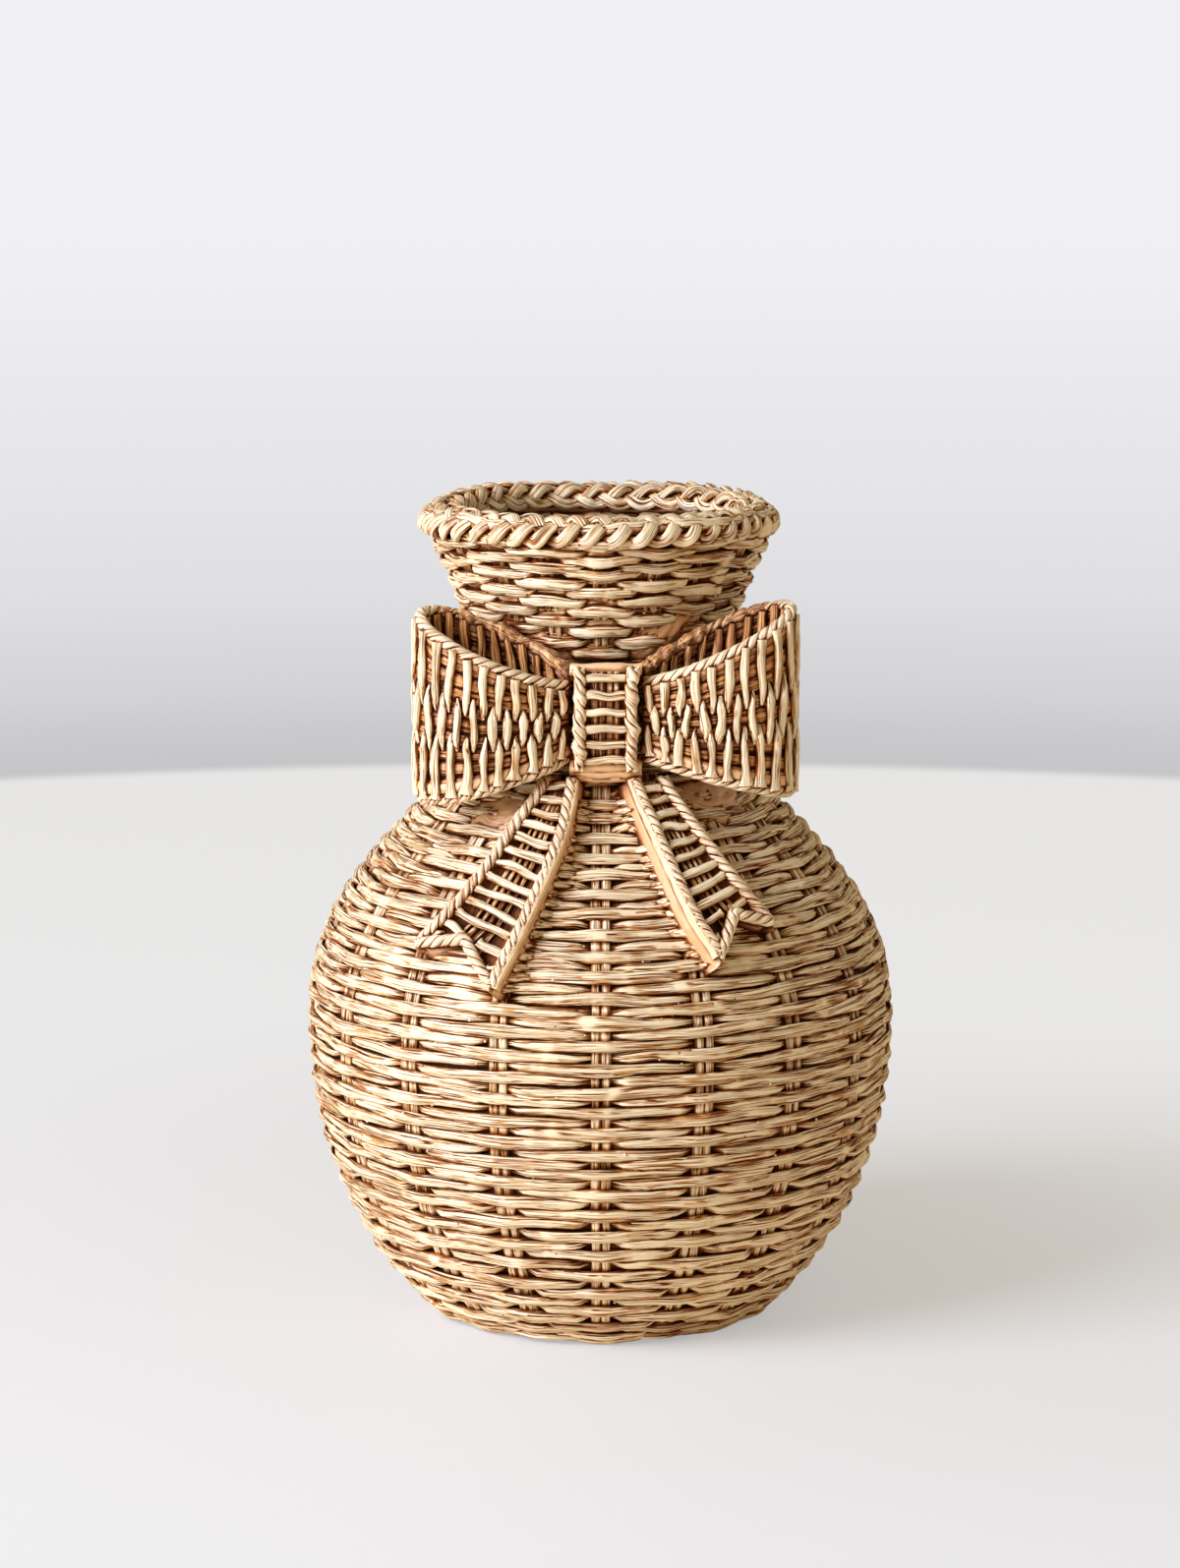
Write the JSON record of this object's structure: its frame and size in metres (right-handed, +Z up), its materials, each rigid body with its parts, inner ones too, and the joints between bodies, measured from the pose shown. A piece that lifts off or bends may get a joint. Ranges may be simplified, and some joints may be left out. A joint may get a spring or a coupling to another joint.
{
  "type": "resin vase",
  "caption": "Round-bellied vase moulded in resin as basket weave, with a flared collar, a plaited rim and a ribbon bow in the same weave on the front of its neck.",
  "frame": {"origin": "middle of the felt's underside, on the vase's axis", "axes": "+Z up along the vase's axis, the bow faces -Y, +X to the right of someone who looks at the bow"},
  "size_m": [0.1676, 0.1686, 0.235],
  "materials": {
    "straw_resin": "cast resin painted as straw, with a brown wash left in the recesses",
    "pale_straw_resin": "cast resin painted as pale straw, dry-brushed on the high parts",
    "bare_resin": "plain tan casting resin",
    "felt": "thin dark felt"
  },
  "bodies": {
    "root": {"felt_pad": "felt", "base_plate": "bare_resin", "inner_pot": "bare_resin", "belly_weave": "straw_resin", "collar_weave": "straw_resin", "rim_braid": "pale_straw_resin", "knot_band": "straw_resin", "knot_rope_left": "pale_straw_resin", "knot_rope_right": "pale_straw_resin", "left_loop_ribbon": "straw_resin", "left_loop_rope_bottom": "pale_straw_resin", "left_loop_rope_top": "pale_straw_resin", "right_loop_ribbon": "straw_resin", "right_loop_rope_bottom": "pale_straw_resin", "right_loop_rope_top": "pale_straw_resin", "left_tail_ribbon": "straw_resin", "left_tail_rope_inner": "pale_straw_resin", "left_tail_rope_outer": "pale_straw_resin", "left_tail_rope_end": "pale_straw_resin", "right_tail_ribbon": "straw_resin", "right_tail_rope_inner": "pale_straw_resin", "right_tail_rope_outer": "pale_straw_resin", "right_tail_rope_end": "pale_straw_resin"}
  },
  "joints": []
}
